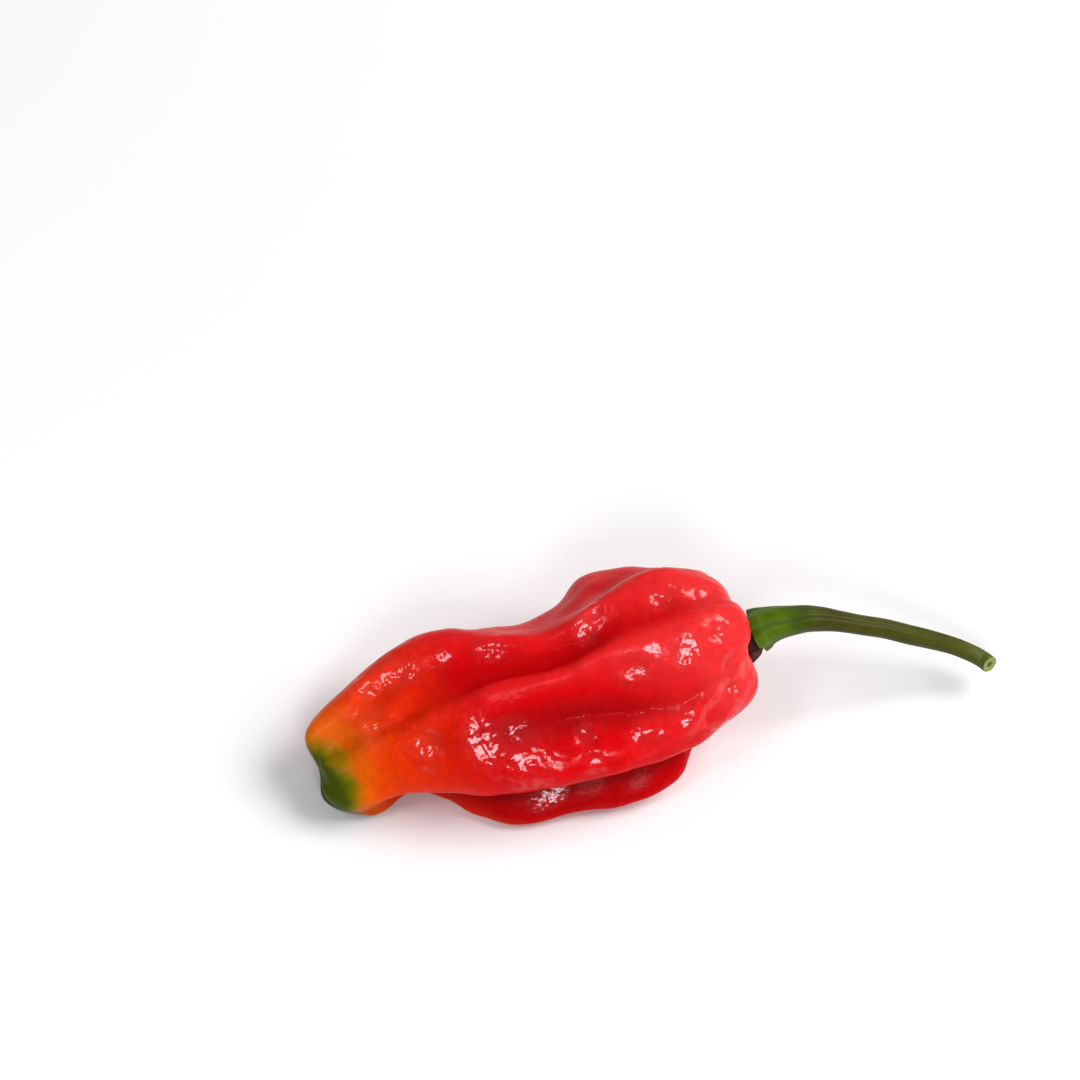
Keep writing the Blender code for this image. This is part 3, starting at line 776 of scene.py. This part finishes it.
def skin_material(settings):
    """Waxy skin: green to orange to red by ripeness, paler with painted sheen along the ridges and
    in broad patches and darker with painted shade in the hollows and grooves, glossiest on the
    small flats, with a fine pebbled bump."""
    material = bpy.data.materials.new("pepper_skin")
    nodes = Nodes(material)
    place = nodes.place()
    ripeness = nodes.attribute("ripeness")
    crest = nodes.attribute("crest")
    sheen_and_shade = nodes.attribute("sheen_and_shade")
    polish = nodes.attribute("polish")

    blotches = nodes.noise(place, 0.004, 3.0)
    flecks = nodes.noise(place, 0.0012, 2.0)
    wander = nodes.math("MULTIPLY_ADD", blotches, 1.6, -0.8)
    ripe = nodes.math("ADD", ripeness, wander)
    scaled = nodes.math("DIVIDE", ripe, RIPENESS_SPAN, clamp=True)
    base = nodes.ramp(
        scaled,
        (
            (0.0, settings.tip_green[:]),
            (0.075, settings.tip_green[:]),
            (0.095, settings.olive[:]),
            (0.115, settings.brown[:]),
            (0.135, settings.amber[:]),
            (0.16, settings.yellow_orange[:]),
            (0.185, settings.yellow_orange[:]),
            (0.25, settings.orange[:]),
            (0.36, settings.orange_red[:]),
            (0.64, settings.red[:]),
            (1.0, settings.red[:]),
        ),
    )
    # Painted shade: the colour darkens in the hollows, more the further each lies below its
    # softened section.
    deep = nodes.mix(1.0, base, (0.8, 0.6, 0.8, 1.0), "MULTIPLY")
    hollow = nodes.map_range(crest, 0.0, -1.4)
    base = nodes.mix(hollow, base, deep)
    # Painted shade where the map along the feature lines is below 0, and painted sheen added where
    # it is above 0, clouded by the blotches.
    shade = nodes.mix(1.0, base, (0.6, 0.4, 0.6, 1.0), "MULTIPLY")
    base = nodes.mix(nodes.map_range(sheen_and_shade, 0.0, -1.0, smooth=False), base, shade)
    cloudy = nodes.map_range(blotches, 0.3, 0.7, 0.8, 1.1)
    haze = nodes.math("MULTIPLY", sheen_and_shade, cloudy, clamp=True)
    base = nodes.mix(haze, base, colour(settings.sheen_and_shade), "ADD")
    speckle = nodes.map_range(flecks, 0.35, 0.7, 0.94, 1.05)
    base = nodes.mix(1.0, base, speckle, "MULTIPLY")

    pebbles = nodes.noise(place, settings.pebble_size, 1.0, 0.4)
    fine = nodes.bump(pebbles, settings.pebble_depth)
    shader = nodes.shader
    nodes.put(shader.inputs["Base Color"], base)
    nodes.put(shader.inputs["Normal"], fine)
    nodes.put(shader.inputs["Coat Normal"], fine)
    nodes.put(shader.inputs["Roughness"], nodes.map_range(crest, -0.1, -0.9, 0.33, 0.55))
    shader.inputs["Specular IOR Level"].default_value = 0.1
    shader.inputs["IOR"].default_value = 1.45
    breaks = nodes.map_range(nodes.noise(place, 0.0018, 2.0, 0.6), 0.40, 0.55, 0.45, 1.2)
    glossy = nodes.math("MULTIPLY", polish, breaks)
    nodes.put(shader.inputs["Coat Weight"], nodes.map_range(glossy, 0.1, 0.7, 0.04, 0.9))
    shader.inputs["Coat Roughness"].default_value = 0.1
    shader.inputs["Coat IOR"].default_value = 1.5
    shader.inputs["Subsurface Weight"].default_value = 0.5
    shader.inputs["Subsurface Radius"].default_value = (1.0, 0.12, 0.08)
    shader.inputs["Subsurface Scale"].default_value = 0.0025
    return material


def stem_material(settings):
    """Satin green, brighter at the calyx and paler at the cut end and underneath, with darker
    streaks and painted shade in the valleys between the ribs. The cut shows a pale ring round its
    pith."""
    material = bpy.data.materials.new("stem_skin")
    nodes = Nodes(material)
    place = nodes.place()
    along = nodes.attribute("along")
    cut = nodes.attribute("cut")
    under = nodes.attribute("under")
    rib = nodes.attribute("rib")

    streaks = nodes.noise(place, 0.0025, 3.0, 0.6)
    green = nodes.ramp(
        along,
        (
            (0.0, settings.calyx_green[:]),
            (0.1, settings.calyx_green[:]),
            (0.17, settings.neck_green[:]),
            (0.26, settings.dark_green[:]),
            (0.5, settings.mid_green[:]),
            (0.8, settings.mid_green[:]),
            (0.97, settings.end_green[:]),
            (1.0, settings.end_green[:]),
        ),
    )
    lower = nodes.map_range(under, 0.0, 1.0, 0.0, 0.5)
    green = nodes.mix(lower, green, colour(settings.under_green))
    dark = nodes.mix(1.0, green, (0.55, 0.6, 0.5, 1.0), "MULTIPLY")
    green = nodes.mix(nodes.map_range(streaks, 0.4, 0.7, 0.0, 0.5), green, dark)
    # Painted shade in the valleys between the ribs.
    green = nodes.mix(nodes.map_range(rib, 0.2, -1.0, 0.0, 0.5), green, dark)
    face = nodes.ramp(
        cut,
        (
            (0.0, settings.end_green[:]),
            (0.12, settings.cut_pale[:]),
            (0.55, settings.cut_pale[:]),
            (0.72, settings.pith[:]),
            (1.0, settings.pith[:]),
        ),
    )
    green = nodes.mix(nodes.map_range(cut, 0.0, 0.05), green, face)
    rough = nodes.bump(nodes.noise(place, 0.0005, 2.0), 0.00003)
    nodes.put(nodes.shader.inputs["Base Color"], green)
    nodes.put(nodes.shader.inputs["Normal"], rough)
    nodes.shader.inputs["Roughness"].default_value = 0.42
    nodes.shader.inputs["Specular IOR Level"].default_value = 0.18
    nodes.shader.inputs["Subsurface Weight"].default_value = 0.1
    nodes.shader.inputs["Subsurface Radius"].default_value = (0.4, 0.6, 0.15)
    nodes.shader.inputs["Subsurface Scale"].default_value = 0.0006
    return material


def scar_material(settings):
    """Dull, crumbly brown cork in darker and paler patches."""
    material = bpy.data.materials.new("scar_cork")
    nodes = Nodes(material)
    place = nodes.place()
    crumbs = nodes.noise(place, 0.0006, 4.0, 0.65)
    patches = nodes.noise(place, 0.0018, 2.0)
    paler = nodes.map_range(patches, 0.35, 0.7)
    base = nodes.mix(paler, colour(settings.dark), colour(settings.light))
    nodes.put(nodes.shader.inputs["Base Color"], base)
    nodes.put(nodes.shader.inputs["Normal"], nodes.bump(crumbs, 0.00025))
    nodes.shader.inputs["Roughness"].default_value = 0.8
    return material


def floor_material(settings):
    """Matt white with a faint, broad unevenness."""
    material = bpy.data.materials.new("floor_white")
    nodes = Nodes(material)
    place = nodes.place()
    shade = nodes.map_range(nodes.noise(place, 0.2, 1.0), 0.3, 0.7, 0.985, 1.0)
    base = nodes.mix(1.0, colour(settings.floor_colour), shade, "MULTIPLY")
    nodes.put(nodes.shader.inputs["Base Color"], base)
    nodes.shader.inputs["Roughness"].default_value = 0.7
    nodes.shader.inputs["Specular IOR Level"].default_value = 0.2
    return material


def facing(position, target=(0, 0, 0)):
    """The placing of a camera or light at position that looks at target, level with the floor."""
    back = np.array(position, float) - target
    back /= np.linalg.norm(back)
    right = np.cross((0, 0, 1), back)
    right /= np.linalg.norm(right)
    up = np.cross(back, right)
    matrix = Matrix.Identity(4)
    for i, axis in enumerate((right, up, back, position)):
        for j in range(3):
            matrix[j][i] = axis[j]
    return matrix


def add_light(name, azimuth, elevation, distance, size, power, tint):
    """An area light at this direction from the middle of the floor, facing it."""
    data = bpy.data.lights.new(name, "AREA")
    data.shape = "RECTANGLE"
    data.size, data.size_y = size
    data.energy = power
    data.color = tint
    light = bpy.data.objects.new(name, data)
    light.matrix_world = facing(direction(azimuth, elevation) * distance)
    bpy.context.scene.collection.objects.link(light)


def add_camera():
    """The camera looks the way the picture does. It is set so that the tables' zero point falls
    on ZERO_PIXEL and a millimetre there takes PIXELS_PER_MM."""
    back = direction(VIEW_AZIMUTH, VIEW_ELEVATION)
    right = np.cross((0, 0, 1), back)
    right /= np.linalg.norm(right)
    up = np.cross(back, right)
    half = PICTURE_SIDE / 2
    across = (ZERO_PIXEL[0] - half) / PIXELS_PER_MM
    down = (ZERO_PIXEL[1] - half) / PIXELS_PER_MM
    zero = -np.array(ORIGIN)
    aim = (zero - right * across + up * down) * MM
    data = bpy.data.cameras.new("camera")
    data.sensor_width = SENSOR_WIDTH
    data.lens = SENSOR_WIDTH * PIXELS_PER_MM * VIEW_DISTANCE / PICTURE_SIDE
    data.clip_start, data.clip_end = 0.01, 20.0
    camera = bpy.data.objects.new("camera", data)
    camera.matrix_world = facing(aim + back * VIEW_DISTANCE * MM, aim)
    bpy.context.scene.collection.objects.link(camera)
    bpy.context.scene.camera = camera


def colour_property(name, description, default):
    return FloatVectorProperty(
        name=name, description=description, default=default, subtype="COLOR", min=0.0, max=1.0
    )


class FruitSettings(PropertyGroup):
    dimple_depth: FloatProperty(
        name="Dimple depth",
        description="How deep the broad dimples in the skin are, in metres",
        default=0.00010,
        unit="LENGTH",
        precision=5,
    )
    ripple_depth: FloatProperty(
        name="Ripple depth",
        description="How deep the small ripples in the skin are, in metres",
        default=0.000022,
        unit="LENGTH",
        precision=6,
    )
    rib_depth: FloatProperty(
        name="Shoulder rib depth",
        description="How deep the fine ribs on the shoulder are, in metres",
        default=0.00005,
        unit="LENGTH",
        precision=5,
    )
    pebble_size: FloatProperty(
        name="Pebble size",
        description="Width of the fine pebbles in the skin's gloss, in metres",
        default=0.0007,
        unit="LENGTH",
        precision=5,
    )
    pebble_depth: FloatProperty(
        name="Pebble depth",
        description="Depth of the fine pebbles in the skin's gloss, in metres",
        default=0.00005,
        unit="LENGTH",
        precision=6,
    )
    red: colour_property("Red", "The ripe skin", (0.66, 0.001, 0.004))
    # The colour of the painted sheen that stands for the soft lights' reflection.
    sheen_and_shade: colour_property("Painted sheen", "What the wax adds to the skin's colour", (0.08, 0.036, 0.034))
    orange_red: colour_property("Orange red", "The skin towards the tip", (0.77, 0.036, 0.001))
    orange: colour_property("Orange", "The skin near the tip", (0.78, 0.07, 0.001))
    yellow_orange: colour_property("Yellow orange", "Nearer the tip", (0.74, 0.14, 0.001))
    amber: colour_property("Amber", "The skin beside the olive", (0.54, 0.18, 0.001))
    brown: colour_property("Olive brown", "The skin between olive and amber", (0.31, 0.18, 0.001))
    olive: colour_property("Olive", "The skin beside the green tip", (0.15, 0.155, 0.002))
    tip_green: colour_property("Tip green", "The unripe tip", (0.075, 0.10, 0.002))


class StemSettings(PropertyGroup):
    rib_depth: FloatProperty(
        name="Rib depth",
        description="Depth of the ribs along the stem, as a share of its radius",
        default=0.035,
        subtype="FACTOR",
    )
    calyx_green: colour_property("Calyx green", "The calyx and stem's foot", (0.10, 0.18, 0.004))
    neck_green: colour_property("Neck green", "The stem just past the calyx", (0.065, 0.10, 0.004))
    dark_green: colour_property("Dark green", "The stem's darkest part", (0.066, 0.064, 0.003))
    mid_green: colour_property("Stem green", "The stem's middle", (0.080, 0.083, 0.007))
    under_green: colour_property("Underside", "The stem's underside", (0.11, 0.13, 0.03))
    end_green: colour_property("End green", "The stem near its cut", (0.12, 0.14, 0.025))
    cut_pale: colour_property("Cut face", "The pale ring of the cut", (0.27, 0.31, 0.10))
    pith: colour_property("Pith", "The middle of the cut", (0.09, 0.12, 0.03))


class ScarSettings(PropertyGroup):
    dark: colour_property("Dark cork", "Most of the dried ring", (0.035, 0.012, 0.008))
    light: colour_property("Light cork", "The dried ring's paler patches", (0.13, 0.05, 0.03))


class StageSettings(PropertyGroup):
    floor_size: FloatProperty(
        name="Floor size", description="Side of the floor", default=6.0, unit="LENGTH"
    )
    floor_colour: colour_property("Floor", "The floor's colour", (0.9, 0.9, 0.9))
    light_share: FloatProperty(
        name="Light share",
        description="How strong all the lights are, 1 being as set up",
        default=1.0,
        subtype="FACTOR",
        min=0.0,
        soft_max=2.0,
    )


class PEPPER_OT_fruit(Operator):
    """Make the fruit from its feature lines, with its dimples, shoulder ribs and skin"""

    bl_idname = "pepper.fruit"
    bl_label = "Make the fruit"

    def execute(self, context):
        settings = context.scene.pepper_fruit
        grid, share, fold, sheen_and_shade = fruit_grid()
        normal = grid_normals(grid)
        fade = np.clip(share / 0.3, 0, 1)
        shift, cover = flats(grid, normal)
        broad = waves_field(grid, *DIMPLE_WAVES)
        small = waves_field(grid, *RIPPLE_WAVES)
        shift += settings.dimple_depth / MM * broad * (1 - 0.6 * cover)
        shift += settings.ripple_depth / MM * small * (0.25 + 1.3 * cover)
        shift += settings.rib_depth / MM * shoulder_ribs(grid) - SKIN_INSET
        grid = grid + normal * (shift * fade)[..., None]
        press_flat(grid)
        # The painted sheen and painted shade go onto the mesh as an attribute for the skin's
        # colour.
        sheen_and_shade = add_sheen_and_shade(grid, sheen_and_shade)
        attributes = {
            "ripeness": ripeness_of(grid),
            "crest": fold - soften(fold, 14.0),
            "sheen_and_shade": np.clip(sheen_and_shade, -1.2, 1.4),
            "polish": cover,
        }
        mesh = closed_mesh("pepper_fruit", grid, attributes)
        add_piece(mesh, skin_material(settings), "fruit")
        return {"FINISHED"}


class PEPPER_OT_stem(Operator):
    """Make the stem with its calyx and its cut end"""

    bl_idname = "pepper.stem"
    bl_label = "Make the stem"

    def execute(self, context):
        settings = context.scene.pepper_stem
        grid, attributes = stem_grid(settings.rib_depth)
        mesh = closed_mesh("pepper_stem", grid, attributes)
        add_piece(mesh, stem_material(settings), "stem")
        return {"FINISHED"}


class PEPPER_OT_scar(Operator):
    """Make the dried ring between the shoulder and the calyx"""

    bl_idname = "pepper.scar"
    bl_label = "Make the calyx scar"

    def execute(self, context):
        mesh = closed_mesh("pepper_scar", scar_grid())
        add_piece(mesh, scar_material(context.scene.pepper_scar), "calyx_scar")
        return {"FINISHED"}


class PEPPER_OT_stage(Operator):
    """Make the pale floor, the soft lights and the camera"""

    bl_idname = "pepper.stage"
    bl_label = "Make the stage"

    def execute(self, context):
        settings = context.scene.pepper_stage
        half = settings.floor_size / 2
        mesh = bpy.data.meshes.new("floor")
        corners = [(-half, -half, 0), (half, -half, 0), (half, half, 0), (-half, half, 0)]
        mesh.from_pydata(corners, [], [(0, 1, 2, 3)])
        mesh.materials.append(floor_material(settings))
        floor = bpy.data.objects.new("floor", mesh)
        context.scene.collection.objects.link(floor)

        share = settings.light_share
        for name, (azimuth, elevation, distance, size, power, tint) in LIGHTS.items():
            add_light(name, azimuth, elevation, distance, size, power * share, tint)
        world = bpy.data.worlds.new("soft_fill")
        world.use_nodes = True
        background = world.node_tree.nodes["Background"]
        background.inputs["Color"].default_value = (1, 1, 1, 1)
        background.inputs["Strength"].default_value = WORLD_STRENGTH * share
        context.scene.world = world
        add_camera()
        context.scene.view_settings.view_transform = "Standard"
        context.scene.view_settings.look = "Medium High Contrast"
        return {"FINISHED"}


class PEPPER_PT_panel(Panel):
    """The sizes and colours of each piece, and the buttons that make them"""

    bl_label = "Pepper"
    bl_idname = "PEPPER_PT_panel"
    bl_space_type = "VIEW_3D"
    bl_region_type = "UI"
    bl_category = "Pepper"

    def draw(self, context):
        scene = context.scene
        for operator, settings in (
            (PEPPER_OT_fruit, scene.pepper_fruit),
            (PEPPER_OT_stem, scene.pepper_stem),
            (PEPPER_OT_scar, scene.pepper_scar),
            (PEPPER_OT_stage, scene.pepper_stage),
        ):
            box = self.layout.box()
            for key in settings.__annotations__:
                box.prop(settings, key)
            box.operator(operator.bl_idname)


GROUPS = {
    "pepper_fruit": FruitSettings,
    "pepper_stem": StemSettings,
    "pepper_scar": ScarSettings,
    "pepper_stage": StageSettings,
}
OPERATORS = (PEPPER_OT_fruit, PEPPER_OT_stem, PEPPER_OT_scar, PEPPER_OT_stage)


def register():
    for cls in (*GROUPS.values(), *OPERATORS, PEPPER_PT_panel):
        bpy.utils.register_class(cls)
    for name, group in GROUPS.items():
        setattr(bpy.types.Scene, name, PointerProperty(type=group))


def unregister():
    for name in GROUPS:
        delattr(bpy.types.Scene, name)
    for cls in (PEPPER_PT_panel, *reversed(OPERATORS), *reversed(GROUPS.values())):
        bpy.utils.unregister_class(cls)


def main():
    register()
    bpy.ops.pepper.stage()
    bpy.ops.pepper.fruit()
    bpy.ops.pepper.stem()
    bpy.ops.pepper.scar()


if __name__ == "__main__":
    main()
